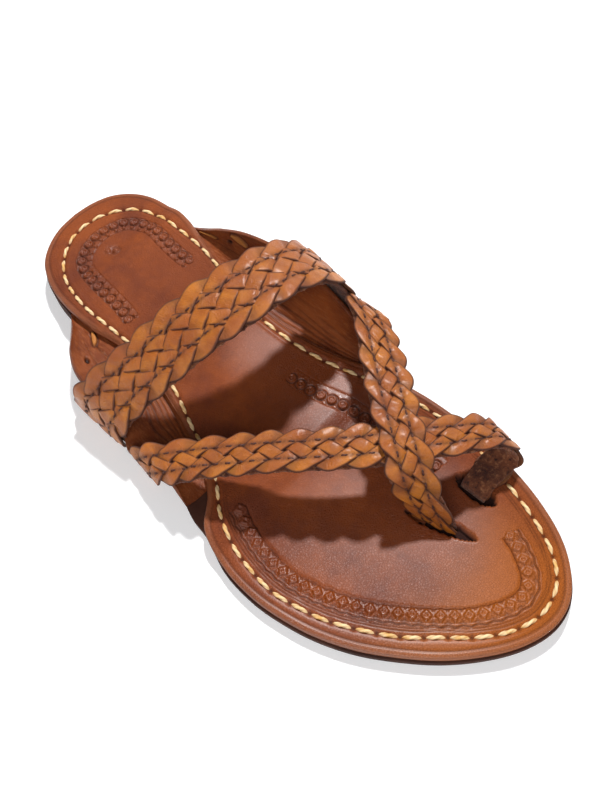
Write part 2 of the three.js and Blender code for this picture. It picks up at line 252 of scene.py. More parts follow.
class Tone:
    """A socket of a material that takes arithmetic."""

    def __init__(self, tree, socket=None):
        self.tree, self.socket = tree, socket

    def node(self, kind, settings=(), sockets=(), out=0):
        """Adds any node, with its settings, socket values or links, and the output used."""
        made = self.tree.nodes.new(kind)
        for key, value in dict(settings).items():
            setattr(made, key, value)
        for key, value in dict(sockets).items():
            if isinstance(value, Tone):
                self.tree.links.new(value.socket, made.inputs[key])
            else:
                made.inputs[key].default_value = value
        return Tone(self.tree, made.outputs[out])

    def maths(self, operation, *values):
        return self.node("ShaderNodeMath", {"operation": operation}, dict(enumerate(values)))

    def __add__(self, other):
        return self.maths("ADD", self, other)

    def __sub__(self, other):
        return self.maths("SUBTRACT", self, other)

    def __rsub__(self, other):
        return self.maths("SUBTRACT", other, self)

    def __mul__(self, other):
        return self.maths("MULTIPLY", self, other)

    def __truediv__(self, other):
        return self.maths("DIVIDE", self, other)

    __radd__ = __add__
    __rmul__ = __mul__

    def ease(self, low, high):
        """Share from 0 to 1 as this value goes from low to high."""
        settings = {"interpolation_type": "SMOOTHSTEP"}
        sockets = {"Value": self, "From Min": low, "From Max": high}
        return self.node("ShaderNodeMapRange", settings, sockets)

    def blend(self, start, end):
        """Colour from start to end by this share."""
        sockets = {"Factor": self, 6: start, 7: end}
        return self.node("ShaderNodeMix", {"data_type": "RGBA"}, sockets, 2)

    def noise(self, where, scale, detail=3, rough=0.55):
        sockets = {"Vector": where, "Scale": scale, "Detail": detail, "Roughness": rough}
        return self.node("ShaderNodeTexNoise", (), sockets)

    def pores(self, where, scale, width):
        """Fine cells of the grain: 0 on their edges, easing to 1 within."""
        sockets = {"Vector": where, "Scale": scale}
        cells = self.node("ShaderNodeTexVoronoi", {"feature": "DISTANCE_TO_EDGE"}, sockets)
        return cells.ease(0.0, width)

    def mark(self, name):
        return self.node("ShaderNodeAttribute", {"attribute_name": name}, (), 2)

    def near(self, where, spot, inside, outside):
        """1 within a distance of a spot in metres, easing to 0 further out."""
        ends = {0: where, 1: spot}
        apart = self.node("ShaderNodeVectorMath", {"operation": "DISTANCE"}, ends, 1)
        return 1 - apart.ease(inside, outside)


def leather(name, coat=0.0, coat_roughness=0.3, specular=0.5, sheen=0.0):
    """A new leather material, a Tone to build it with, and its object coordinates."""
    material = bpy.data.materials.new(name)
    material.use_nodes = True
    tree = material.node_tree
    shader = tree.nodes["Principled BSDF"]
    shader.inputs["Coat Weight"].default_value = coat
    shader.inputs["Coat Roughness"].default_value = coat_roughness
    shader.inputs["Specular IOR Level"].default_value = specular
    shader.inputs["Sheen Weight"].default_value = sheen
    tone = Tone(tree)
    return material, tone, tone.node("ShaderNodeTexCoord", (), (), 3)


def set_finish(tone, colour, roughness, height, depth, coat=None):
    """Colour, roughness, grain and glaze of a leather; depth is the grain's height in mm."""
    bump = {"Height": height, "Distance": depth * MM, "Strength": 1.0}
    normal = tone.node("ShaderNodeBump", (), bump)
    links = {"Base Color": colour, "Roughness": roughness, "Normal": normal}
    if coat is not None:
        links["Coat Weight"] = coat
    shader = tone.tree.nodes["Principled BSDF"]
    for name, value in links.items():
        tone.tree.links.new(value.socket, shader.inputs[name])


sole_leather, tone, where = leather("sole_leather", specular=0.2)
blotch = tone.noise(where, 45, 4).ease(0.3, 0.72)
fibre = tone.noise(where, 700)
scuff = (tone.noise(where, 160, 5, 0.7) + tone.noise(where, 28, 2)) / 2
under = tone.mark("under")
worn = under * scuff.ease(0.42, 0.62)
edge_colour = blotch.blend((0.036, 0.011, 0.007, 1), (0.075, 0.026, 0.014, 1))
raw_colour = blotch.blend((0.13, 0.055, 0.027, 1), (0.24, 0.115, 0.06, 1))
colour = (under * 0.72).blend(edge_colour, raw_colour)
colour = (worn * 0.6).blend(colour, (0.3, 0.17, 0.1, 1))
# The awl holes on the underside are painted near black: painted shade in the holes.
colour = tone.mark("dark").blend(colour, (0.012, 0.005, 0.003, 1))
set_finish(tone, colour, 0.5 + fibre * 0.3, fibre + scuff * 0.7, 0.16)

# Rings of the grooved edge, the lid over it and the underside: an inset, a share of the way
# from there to the middle line, and a share of the thickness.
SIDE = [(0.35, 0, 1), (0.1, 0, 0.97), (0, 0, 0.88), (0.04, 0, 0.72), (0.14, 0, 0.62),
        (0.04, 0, 0.52), (0, 0, 0.36), (0.12, 0, 0.3), (0, 0, 0.22), (0.1, 0, 0.05),
        (0.4, 0, 0)]
LID = [(20, 1, 1), (12, 0.4, 1), (8, 0, 1), (3, 0, 1)]
# The rings keep to the outline this far in, and then close on the middle line.
FOLLOWED = 12.5
BOTTOM = [(a, 0, 0) for a in np.arange(1, 12.6, 0.55)]
BOTTOM += [(FOLLOWED, s, 0) for s in np.linspace(0.04, 1, 26)]

# The seam that holds the layers together, all the way round from the heel's inner side.
SEAM = [
    (22, -45), (25, -30), (26, -12), (26, 0), (23, 10), (16, 17), (7, 21), (-4, 21),
    (-14, 16), (-22, 7), (-26, -4), (-28, -16), (-28, -30), (-28, -45), (-28, -60),
    (-30, -72), (-33, -80), (-37, -90), (-41, -103), (-47, -113), (-54, -122),
    (-59, -133), (-61, -142), (-62, -155), (-60, -166), (-57, -176), (-51, -188),
    (-44, -199), (-36, -208), (-28, -217), (-19, -224), (-10, -227.5), (-3, -227.5),
    (4, -225), (11, -218.5), (16, -210), (20, -200), (23, -190), (27, -175),
    (28.5, -160), (28, -147), (25.5, -133), (21, -118), (18, -104), (16.5, -90),
    (16, -75), (17.5, -60), (22, -45),
]
STITCH_PITCH = 7.8
seam_line = spline(SEAM, np.linspace(0, 1, 2600), True)
seam_length = lengths(seam_line)[-1]
stitch_count = round(seam_length / STITCH_PITCH)
stitch_step = seam_length / stitch_count


def tree_of(line):
    """Search tree over the points of a flat line."""
    tree = kdtree.KDTree(len(line))
    for i, (x, y) in enumerate(line[:, :2].tolist()):
        tree.insert((x, y, 0), i)
    tree.balance()
    return tree


def nearest(tree, x, y):
    """Distance to a line, and the number of its nearest point."""
    found = [tree.find((a, b, 0))[1:] for a, b in zip(x.tolist(), y.tolist())]
    index, distance = np.array(found).T
    return distance, index.astype(int)


seam_tree = tree_of(seam_line)
seam_holes = tree_of(along(seam_line, np.arange(stitch_count) * stitch_step))


def groove(distance, middle, width):
    """Depth from 0 to 1 of a soft groove at a distance."""
    return np.exp(-(((distance - middle) / width) ** 2))


def under_relief(x, y):
    """Stitch channel cut along the underside, deepest at the awl holes."""
    channel = groove(nearest(seam_tree, x, y)[0], 0, 1.1)
    hole = groove(nearest(seam_holes, x, y)[0], 0, 0.8)
    return CHANNEL_DEPTH * channel + AWL_DEPTH * hole, hole


def sole_height(bottom, top):
    """Height rule for a plate of sole leather between two levels."""
    def height(x, y, inset, level):
        dent, hole = under_relief(x, y)
        low = level < 0.01
        base = bottom(y) + edge_drop(inset, 0.5) * low
        z = base + (top(y) - bottom(y)) * level + dent * low * (inset > 1)
        # The dark mark is painted shade in the awl holes on the underside.
        return z, {"under": low * smooth(0.2, 0.9, inset), "dark": hole * low * 0.9}
    return height


loop, spine = outline(outsole_ribs(), 0.75)
bm = new_mesh("under", "dark")
plate(bm, loop, spine, LID + SIDE + BOTTOM, sole_height(outsole_bottom, outsole_top))
finish_piece(bm, "outsole_leather", sole_leather, "sole_leather", "outsole")

# ---- heel lift
# Two thin layers of the same sole leather, pasted under the heel and cut flush with the
# outsole round the back. Its front edge, the breast, runs straight across.

LIFT_FRONT = -48.0

lateral, medial = both_edges(outsole_ribs(), np.linspace(0, 1, 400))
kept = lateral[:, 1] > LIFT_FRONT
breast = np.linspace(lateral[kept][-1], medial[kept][-1], 90)[1:-1]
edge = np.vstack([lateral[kept], breast, medial[kept][::-1][:-1]])
closed_edge = np.vstack([edge, edge[:1]])
loop = along(closed_edge, np.linspace(0, lengths(closed_edge)[-1], 330)[:-1])
spine = np.column_stack([0 * loop[:, 0], np.clip(loop[:, 1], -20, 4)])
bm = new_mesh("under", "dark")
plate(bm, loop, spine, LID + SIDE + BOTTOM,
      sole_height(lambda y: 0 * y, lambda y: LIFT_HEIGHT + 0 * y))
finish_piece(bm, "heel_lift_leather", sole_leather, "sole_leather", "heel_lift")

# ---- ears
# The two ears, side flaps of softer red-brown leather, lie between outsole and insole and
# curl up beside the foot to carry the strap ends. They crease where they bend at the seam.

# y, root x, edge x and top z of each ear.
LATERAL_EAR = [
    (-11, -31, -33.4, 9.6), (-20, -34, -39.5, 12.5), (-30, -33, -47, 16),
    (-40, -31.5, -52, 16.5), (-52, -31.8, -53.6, 16.5), (-62, -33, -53.8, 15.5),
    (-70, -34.6, -54.8, 12.5), (-77.5, -36.6, -59.4, 8.6), (-86, -39.4, -57.6, 9.2),
    (-100, -44.5, -57.8, 8.5), (-110, -50.5, -60, 6.8),
]
MEDIAL_EAR = [
    (-14, 31.6, 32.4, 9.0), (-22, 31, 33.4, 12.4), (-32, 28, 34.8, 18), (-44, 24, 36.2, 23.5),
    (-56, 22, 36.6, 27), (-68, 21, 36.8, 28.5), (-80, 21, 36.8, 28), (-92, 22.5, 36.6, 26),
    (-104, 24.5, 36, 22), (-114, 27, 35, 16), (-121, 29.5, 33.4, 8),
]
# Creases: share along at both ends, share up the curl at both ends, depth in mm.
LATERAL_CREASES = [
    (0.28, 0.95, 0.14, 0.12, 0.35), (0.3, 0.8, 0.2, 0.2, 0.3), (0.34, 0.9, 0.27, 0.25, 0.36),
    (0.2, 0.62, 0.33, 0.35, 0.25), (0.45, 0.92, 0.36, 0.33, 0.32),
    (0.3, 0.7, 0.43, 0.46, 0.28), (0.55, 0.85, 0.5, 0.44, 0.25),
    (0.15, 0.4, 0.5, 0.62, 0.2), (0.35, 0.6, 0.6, 0.66, 0.2), (0.1, 0.3, 0.25, 0.4, 0.22),
]
MEDIAL_CREASES = [
    (0.2, 0.9, 0.1, 0.1, 0.32), (0.35, 0.95, 0.16, 0.17, 0.3), (0.3, 0.7, 0.22, 0.24, 0.34),
    (0.55, 0.97, 0.26, 0.24, 0.34), (0.25, 0.6, 0.31, 0.34, 0.25),
    (0.5, 0.93, 0.36, 0.33, 0.3), (0.62, 0.9, 0.45, 0.4, 0.26), (0.15, 0.42, 0.5, 0.6, 0.2),
    (0.45, 0.75, 0.55, 0.62, 0.2), (0.7, 0.92, 0.56, 0.5, 0.22),
]

# Ends of the tan laces that tie the straps down: share along and up, at both ends.
LATERAL_LACES = [(0.15, 0.12, 0.205, 0.36)]
MEDIAL_LACES = [(0.07, 0.78, 0.16, 0.68), (0.25, 0.9, 0.33, 0.8)]
# Awl holes: share along and share up.
LATERAL_HOLES = [(0.26, 0.69)]
MEDIAL_HOLES = [(0.235, 0.74), (0.045, 0.6)]
# Height along the curl, reach under the insole, and the share of the curl that it takes.
CURL, HELD, HELD_SHARE = 26.0, 3.0, 0.12

ear_leather, tone, where = leather("ear_leather", coat=0.06, specular=0.22)
blotch = tone.noise(where, 60, 4).ease(0.3, 0.7)
pores = tone.pores(where, 1500, 0.12)
streak = tone.node("ShaderNodeMapping", (), {"Vector": where, "Scale": (2.2, 0.5, 2.2)})
lines = tone.noise(streak, 620, 4, 0.6)
colour = blotch.blend((0.15, 0.03, 0.008, 1), (0.29, 0.068, 0.014, 1))
colour = (lines.ease(0.45, 0.75) * 0.5).blend(colour, (0.38, 0.125, 0.04, 1))
colour = tone.mark("tan").blend(colour, (0.5, 0.19, 0.045, 1))
# The dark mark paints shade into the creases, round the laces and in the awl holes, and darkens the
# top edge.
colour = tone.mark("dark").blend(colour, (0.03, 0.008, 0.005, 1))
set_finish(tone, colour, 0.34 + blotch * 0.16, lines * 1.4 + pores * 0.4, 0.22)


def add_ear(name, node, rows, creases, laces, holes, steepness, side):
    """One ear: u runs along it, v up its inside face and down its outside. Its section goes
    level from under the insole to its root, and then bends round a knee up to its edge."""
    table = np.asarray(rows, float)
    run = table[0, 0] - table[-1, 0]

    def place(u, v):
        y = table[0, 0] - run * u
        t = np.interp(-y, -table[:, 0], np.linspace(0, 1, len(table)))
        _, root, edge, top = spline(table, t).T
        bed = outsole_top(y) + PLY_GAP + EAR_THICKNESS / 2
        top = np.maximum(top, bed)
        inside = v < 0.5
        climb = 1 - np.abs(2 * v - 1)
        flare = 0.25 * np.sin(9 * u) + 0.08 * np.sin(23 * u + 1)
        knee = root + (edge - root) * steepness
        bend = np.clip((climb - HELD_SHARE) / 0.86, 0, 1)
        flat = np.clip(climb / HELD_SHARE, 0, 1)
        early, halfway, late = (1 - bend) ** 2, 2 * bend * (1 - bend), bend**2
        x = early * root + halfway * knee + late * edge
        z = (early + halfway) * bed + late * top
        dx = 2 * (1 - bend) * (knee - root) + 2 * bend * (edge - knee)
        dz = 2 * bend * (top - bed)
        x = np.where(climb < HELD_SHARE, root - side * HELD * (1 - flat), x)
        size = np.hypot(dx, dz) + 1e-9
        nx, nz = -np.abs(dz / size) * side, np.abs(dx) / size
        half = EAR_THICKNESS / 2 * np.sqrt(np.clip((1 - climb) / 0.03, 0, 1))
        half = half * (0.25 + 0.75 * smooth(0, 0.09, u) * smooth(1, 0.93, u))
        half = half * np.where(inside, 1, -1)
        dent = 0 * u
        for u0, u1, c0, c1, depth in creases:
            w = np.clip((u - u0) / (u1 - u0), 0, 1)
            line = c0 + (c1 - c0) * w + 0.012 * np.sin(17 * u + 9 * c0)
            fade = smooth(u0 - 0.04, u0 + 0.08, u) * smooth(u1 + 0.04, u1 - 0.08, u)
            near = (climb - line) / 0.022
            dent += depth * fade * (groove(near, 0, 1) - 0.5 * groove(near, 1.8, 1))
        tan, hole = 0 * u, 0 * u
        for u0, c0, u1, c1 in laces:
            along_lace, up_lace = (u1 - u0) * run, (c1 - c0) * CURL
            across, up = (u - u0) * run, (climb - c0) * CURL
            share = (across * along_lace + up * up_lace) / (along_lace**2 + up_lace**2)
            share = np.clip(share, 0, 1)
            away = np.hypot(across - along_lace * share, up - up_lace * share)
            away += 0.7 * (2 * share - 1) ** 2
            tan = np.maximum(tan, smooth(1.5, 1.0, away) * inside)
            dent += 0.55 * groove(away, 1.9, 0.4) * inside
        for u0, c0 in holes:
            away = np.hypot((u - u0) * run, (climb - c0) * CURL * 1.4)
            hole = np.maximum(hole, smooth(2.1, 0.8, away) * inside)
        shift = half - dent * 0.9 + flare * late + 0.7 * tan - 1.1 * hole
        spot = np.column_stack([x + nx * shift, y, z + nz * shift])
        # Painted shade in the creases, round the laces and in the awl holes; the top edge is darker
        # as well.
        shade = np.clip(dent * 1.4, 0, 0.6) + 0.3 * smooth(0.9, 1, climb)
        return spot, {"dark": np.clip(np.maximum(shade, hole) * (1 - tan), 0, 1), "tan": tan}

    bm = new_mesh("dark", "tan")
    lay_grid(bm, 190, 150, place)
    finish_piece(bm, name, ear_leather, "ear_leather", node)


add_ear("lateral_ear", "ear_lateral", LATERAL_EAR, LATERAL_CREASES,
        LATERAL_LACES, LATERAL_HOLES, 0.55, -1)
add_ear("medial_ear", "ear_medial", MEDIAL_EAR, MEDIAL_CREASES,
        MEDIAL_LACES, MEDIAL_HOLES, 0.92, 1)

# ---- insole
# The insole, the bed of the foot: smooth red-brown leather, burnished orange at the toe.
# Its face has creased tooling lines, a stitch channel, two slits for the strap ends, a tack
# at the heel, and a shallow bed for the stamped borders.

# Stamped borders: their middle lines, each with its kind of stamp.
BORDERS = [
    ("heel", [
        (-21, -37), (-19.4, -30), (-18.4, -22), (-17.6, -12), (-16, -2), (-13.4, 5.5),
        (-8, 10), (0, 12.6), (7, 12), (13.5, 9.4), (18, 4), (19.6, -3), (19, -10),
        (17.5, -20), (16.5, -34),
    ]),
    ("flower", [
        (-47, -124), (-50, -131), (-53, -141), (-54.2, -149), (-53.7, -160), (-50.5, -171),
        (-45.2, -183), (-39, -192.5), (-32.2, -201.5), (-25.5, -209), (-19, -214.5),
        (-12.5, -218.3), (-6.5, -219.6), (-1.5, -217.6), (2.5, -213), (5.7, -207.5),
        (7.8, -201.5),
    ]),
    ("ring", [
        (11.5, -170), (12.6, -160), (12.4, -150), (11, -140), (9.2, -129.7), (7, -121),
        (5, -112), (4.2, -100),
    ]),
]
STAMP_PITCH = 4.7
# How far a border reaches to either side of its middle line, and how deep its bed is.
BORDER_IN, BORDER_OUT, BORDER_DEPTH = 3.1, 4.9, 1.1
# Slits for the strap ends: x, y, half length, half width and turn.
SLITS = [(-5.0, -183.2, 13.6, 2.3, 0.284), (13.4, -184.5, 9.0, 3.0, 0.0)]
SLIT_DEPTH = 2.6
# The tack that holds the heel, and the raised dot beside it.
TACK, DOT = (1.0, -0.5), (-1.4, 1.9)
# Places polished by wear, in metres: middle, radius in full shine, outer radius, strength.
POLISHED = [
    ((0.010, -0.119, 0.014), 0.008, 0.036, 1.0), ((-0.034, -0.178, 0.009), 0.024, 0.058, 0.85),
    ((0.006, -0.088, 0.014), 0.006, 0.024, 0.5),
]

insole_leather, tone, where = leather("insole_leather", coat_roughness=0.35, specular=0.38)
length_way = tone.node("ShaderNodeSeparateXYZ", (), {"Vector": where}, 1)
toe = 1 - (length_way + tone.noise(where, 30, 2) * 0.03).ease(-0.2, -0.165)
blotch = tone.noise(where, 38, 4, 0.6).ease(0.3, 0.7)
patch = tone.noise(where, 19, 3, 0.6).ease(0.5, 0.66)
pores = tone.pores(where, 1150, 0.16)
grain = tone.noise(where, 1250, 3, 0.65)
dark, rub_and_sheen = tone.mark("dark"), tone.mark("rub_and_sheen")
colour = blotch.blend((0.145, 0.024, 0.003, 1), (0.28, 0.056, 0.004, 1))
colour = (toe * 0.85).blend(colour, (0.36, 0.088, 0.003, 1))
colour = (patch * 0.4).blend(colour, (0.13, 0.022, 0.006, 1))
# The worn edge is painted lighter and pinker: partly real rubbing wear, partly painted sheen.
colour = (rub_and_sheen * 0.5).blend(colour, (0.3, 0.1, 0.04, 1))
colour = (grain.ease(0.52, 0.75) * 0.25).blend(colour, (0.1, 0.022, 0.006, 1))
# Painted shade in the stitch holes, tooling grooves, strap slits, the groove round the tack and the
# stamps' hollows.
colour = dark.blend(colour, (0.028, 0.007, 0.004, 1))
polish = rub_and_sheen * 0.3 + tone.mark("shine") * 0.6
for spot, inside, outside, strength in POLISHED:
    polish = polish + tone.near(where, spot, inside, outside) * strength
glaze = polish * (1 - dark)
rough = 0.64 + tone.noise(where, 240, 4, 0.6) * 0.16 + toe * 0.12 - glaze * 0.4
rough = rough + dark * 0.35
set_finish(tone, colour, rough, grain * 1.3 + pores * 0.5, 0.26, glaze * 0.36)

border_lines = []
for kind, points in BORDERS:
    line = spline(points, np.linspace(0, 1, 1500), True)
    count = round(lengths(line)[-1] / STAMP_PITCH)
    border_lines.append((kind, line, tree_of(line), count))
loop, spine = outline(INSOLE_RIBS, 0.56)
edge_tree = tree_of(outline(INSOLE_RIBS, 0.2)[0])


def beside(line, tree, x, y):
    """Signed distance out from a border's middle line, and the nearest point's number."""
    distance, i = nearest(tree, x, y)
    ahead = line[np.minimum(i + 1, len(line) - 1)] - line[np.maximum(i - 1, 0)]
    apart = np.column_stack([x, y]) - line[i]
    outward = ahead[:, 0] * apart[:, 1] - ahead[:, 1] * apart[:, 0]
    return -np.sign(outward) * distance, i


def slit_depth(x, y):
    """Share from 0 outside the strap slits to 1 well inside one."""
    deep = 0 * x
    for cx, cy, half_length, half_width, turn in SLITS:
        dx, dy = x - cx, y - cy
        a = dx * math.cos(turn) + dy * math.sin(turn)
        b = -dx * math.sin(turn) + dy * math.cos(turn)
        pointed = half_width * np.clip(1 - (np.abs(b) / half_length) ** 3, 0, 1)
        within = smooth(0.35, -0.2, np.abs(a) - pointed) * (np.abs(b) < half_length)
        deep = np.maximum(deep, within)
    return deep


def insole_face(x, y):
    """Relief of the insole's face in mm, its places darkened with painted shade, and its rubbed
    edge with painted sheen.
    """
    edge = nearest(edge_tree, x, y)[0]
    seam = nearest(seam_tree, x, y)[0]
    hole = groove(nearest(seam_holes, x, y)[0], 0, 0.75)
    forefoot = smooth(-112, -128, y)
    relief = -0.4 * groove(seam, 0, 1.1) - 0.55 * hole
    lines = groove(edge, 2.5, 0.32) * (0.35 + 0.65 * np.maximum(forefoot, smooth(-20, -5, y)))
    inner = groove(seam, 2.1, 0.28) + 0.8 * groove(seam, 3.1, 0.26)
    lines += forefoot * (edge > 5.2) * inner
    relief -= 0.32 * lines
    relief += 0.18 * groove(seam, 1.9, 0.7) * (1 - forefoot)
    deep = slit_depth(x, y)
    relief -= SLIT_DEPTH * deep
    tack = np.hypot(x - TACK[0], y - TACK[1])
    relief += 0.9 * smooth(1.6, 0.5, tack) - 0.55 * groove(tack, 2.1, 0.45)
    relief += 0.85 * smooth(1.7, 0.3, np.hypot(x - DOT[0], y - DOT[1]))
    # Hollows trodden by the ball of the foot and by the heel.
    relief -= 0.5 * np.exp(-((x + 12) / 30) ** 2 - ((y + 165) / 30) ** 2)
    relief -= 0.4 * np.exp(-((x - 1) / 17) ** 2 - ((y + 8) / 20) ** 2)
    # Painted shade: darker in the stitch holes, tooling grooves, strap slits and round the tack.
    dark = np.clip(0.85 * hole + 0.5 * lines + 1.4 * deep, 0, 1)
    dark = np.maximum(dark, 0.35 * groove(tack, 1.9, 0.5))
    # Near the outer edge: real rubbing wear, and a painted sheen in its colour.
    rub_and_sheen = smooth(3.2, 0.6, edge)
    return relief, np.clip(dark, 0, 1), rub_and_sheen


def insole_height(x, y, inset, level):
    """Height rule for the insole: bedded for the borders, skived thin along the waist."""
    top = level > 0.99
    relief, dark, rub_and_sheen = insole_face(x, y)
    for _, line, tree, _ in border_lines:
        out, i = beside(line, tree, x, y)
        band = smooth(-BORDER_IN + 0.2, -BORDER_IN + 0.9, out)
        band = band * smooth(BORDER_OUT - 0.2, BORDER_OUT - 0.9, out)
        relief = relief - BORDER_DEPTH * band * (i > 25) * (i < len(line) - 26)
    waist = smooth(-14, -30, y) * smooth(-122, -108, y)
    skived = edge_drop(inset, 1.1) * (1 - waist) + edge_drop(inset, 2.6) * waist
    skived = np.minimum(skived, 1.5)
    z = insole_top(y) - (1 - level) * INSOLE_THICKNESS + (relief - skived) * top
    # The tack and the dot are polished together.
    shine = smooth(4.6, 3.2, np.hypot(x - TACK[0] + 1, y - TACK[1] - 1)) * top
    return z, {"dark": dark * top, "rub_and_sheen": np.where(top, rub_and_sheen, 0.35), "shine": shine}


# Rings of the insole's face, from the middle line out, and of its edge and underside.
FACE = [(FOLLOWED, s, 1) for s in np.linspace(1, 0.03, 40)]
FACE += [(a, 0, 1) for a in np.arange(FOLLOWED, 1.0, -0.46)]
FACE += [(0.85, 0, 1), (0.5, 0, 1), (0.25, 0, 1), (0.08, 0, 1)]
EDGE = [(0, 0, 0.6), (0.06, 0, 0.5), (0, 0, 0.4), (0.05, 0, 0.2), (0.3, 0, 0), (8, 0, 0),
        (12, 1, 0)]
bm = new_mesh("dark", "rub_and_sheen", "shine")
plate(bm, loop, spine, FACE + EDGE, insole_height)
finish_piece(bm, "insole_leather_bed", insole_leather, "insole_leather", "insole")

# ---- stamped borders
# Rows of marks struck into the damp insole with hand stamps: flowers between zigzag lines
# round the toe, rings up the inner side, and rings with a row of beads round the heel.


def stamp(kind, run, out, pitch):
    """Relief of a border's stamps at a length along it and a distance out from its middle."""
    s = (run / pitch - np.floor(run / pitch) - 0.5) * pitch
    r = np.hypot(s, out)
    if kind == "flower":
        corner = np.abs(s) + np.abs(out * 0.86)
        relief = 0.62 * smooth(2.5, 1.3, corner) - 0.3 * smooth(0.9, 0.2, r)
        zigzag = 3.15 + 0.75 * (1 - 2 * np.abs(s) / pitch)
        relief -= 0.42 * groove(out, zigzag, 0.3)
        relief -= 0.5 * groove(out, -2.65, 0.35)
        relief -= 0.25 * smooth(0.1, 0.6, r - 2.3) * (out < 2.6)
    else:
        relief = 0.5 * groove(r, 1.35, 0.5) - 0.45 * groove(r, 2.2, 0.32)
        relief += 0.3 * smooth(0.75, 0.3, r)
        if kind == "heel":
            relief += 0.62 * smooth(1.25, 0.4, np.hypot(s, out - 3.3))
            relief -= 0.3 * (groove(out, 4.6, 0.3) + groove(out, -2.7, 0.3))
    return relief


def add_border(bm, kind, line, count):
    """A strip of stamped leather that fills a border's bed."""
    total = lengths(line)[-1]
    pitch = total / count

    def place(u, v):
        run = u * total
        out = BORDER_OUT - v * (BORDER_IN + BORDER_OUT)
        base = along(line, run)
        ahead = along(line, run + 0.3) - along(line, run - 0.3)
        ahead /= np.linalg.norm(ahead, axis=1)[:, None]
        spot = base + np.column_stack([ahead[:, 1], -ahead[:, 0]]) * out[:, None]
        face, dark, rub_and_sheen = insole_face(spot[:, 0], spot[:, 1])
        relief = stamp(kind, run, out, pitch)
        rim = smooth(0, 0.7, out + BORDER_IN) * smooth(0, 0.7, BORDER_OUT - out)
        rim = rim * smooth(0, 0.8, run) * smooth(0, 0.8, total - run)
        z = insole_top(spot[:, 1]) + face + 1.3 * relief * rim - 0.22 * (1 - rim)
        # Painted shade in the stamps' hollows.
        shade = np.clip(0.05 - 1.3 * relief, 0, 0.75) * rim
        marks = {"dark": np.maximum(dark, shade), "rub_and_sheen": rub_and_sheen, "shine": rim}
        return np.column_stack([spot, z]), marks

    lay_grid(bm, int(total / 0.27), 34, place)


bm = new_mesh("dark", "rub_and_sheen", "shine")
for kind, line, _, count in border_lines:
    add_border(bm, kind, line, count)
finish_piece(bm, "stamped_border", insole_leather, "insole_leather", closed=False)

# ---- seam thread
# One row of waxed cream cotton thread, two plies twisted together, sews insole, ears and
# outsole together. On the face it lies in long stitches that dive into the awl holes.

UP = np.array([0, 0, 1.0])
STITCH_GAP, UNDER_GAP = 1.5, 1.2

cream_thread, tone, where = leather("cream_thread", specular=0.4)
strand = tone.mark("ply")
dirt = tone.noise(where, 260).ease(0.4, 0.7)
colour = dirt.blend((0.9, 0.66, 0.36, 1), (0.72, 0.4, 0.12, 1))
# Painted shade in the groove between the two plies.
colour = (strand * 0.4).blend(colour, (0.34, 0.15, 0.045, 1))
fluff = tone.noise(where, 2600)
set_finish(tone, colour, 0.5 + dirt * 0.15, fluff - strand * 0.6, 0.12)


def add_stitch(bm, path, lift, thick, turns, sides=10, steps=16):
    """One stitch as a twisted two-ply thread: path(t) gives its middle, t from 0 to 1."""
    def place(u, v):
        middle = path(u)
        ahead = path(np.clip(u + 0.02, 0, 1)) - path(np.clip(u - 0.02, 0, 1))
        ahead /= np.linalg.norm(ahead, axis=1)[:, None] + 1e-9
        side = np.cross(ahead, lift)
        side /= np.linalg.norm(side, axis=1)[:, None] + 1e-9
        up = np.cross(side, ahead)
        angle = 2 * math.pi * v
        ply = 0.5 - 0.5 * np.cos(2 * (angle - 2 * math.pi * turns * u))
        size = thick / 2 * (0.8 + 0.24 * ply) * np.sqrt(np.clip(4.2 * u * (1 - u) + 0.05, 0, 1))
        spot = middle + side * (size * np.cos(angle) * 1.1)[:, None]
        spot = spot + up * (size * np.sin(angle) * 0.9)[:, None]
        # The ply mark is 1 in the groove between the plies, where the colour is painted shade.
        return spot, {"ply": np.clip(1 - 1.5 * ply, 0, 1)}

    lay_grid(bm, steps, sides, place)


bm = new_mesh("ply")
for n in range(stitch_count):
    begin = n * stitch_step + STITCH_GAP / 2
    span = stitch_step - STITCH_GAP

    def over(t, begin=begin, span=span):
        spot = along(seam_line, begin + span * t)
        rise = -0.95 + 1.05 * np.sin(math.pi * np.clip(t, 0, 1)) ** 0.45
        return np.column_stack([spot, insole_top(spot[:, 1]) + rise])

    add_stitch(bm, over, UP, 1.4, 0.9)
finish_piece(bm, "seam_thread", cream_thread, "insole_leather")

# ---- underside thread
# The same thread underneath, in the outsole's channel, half a stitch out of step with the
# face. No stitch is laid across the breast of the heel lift.

bm = new_mesh("ply")
for n in range(stitch_count):
    begin = (n + 0.5) * stitch_step + UNDER_GAP / 2

    def below(t, begin=begin):
        spot = along(seam_line, (begin + (stitch_step - UNDER_GAP) * t) % seam_length)
        sole = np.where(spot[:, 1] > LIFT_FRONT, 0, outsole_bottom(spot[:, 1]))
        rise = 1.5 - np.sin(math.pi * np.clip(t, 0, 1)) ** 0.45
        return np.column_stack([spot, sole + rise])

    middle = along(seam_line, np.array([begin + stitch_step / 2]))
    if abs(middle[0, 1] - LIFT_FRONT) >= 4.5:
        add_stitch(bm, below, UP, 1.0, 1.4, 8, 10)
finish_piece(bm, "underside_thread", cream_thread, "sole_leather")

# ---- braided straps
# The upper: a wide band braided from six strips of tan leather over the instep, and two
# narrow four-strip braids that cross over the toes. Each is pressed flat and glazed, so that
# the tiles shine, and its ends are tucked in between the sole's layers.

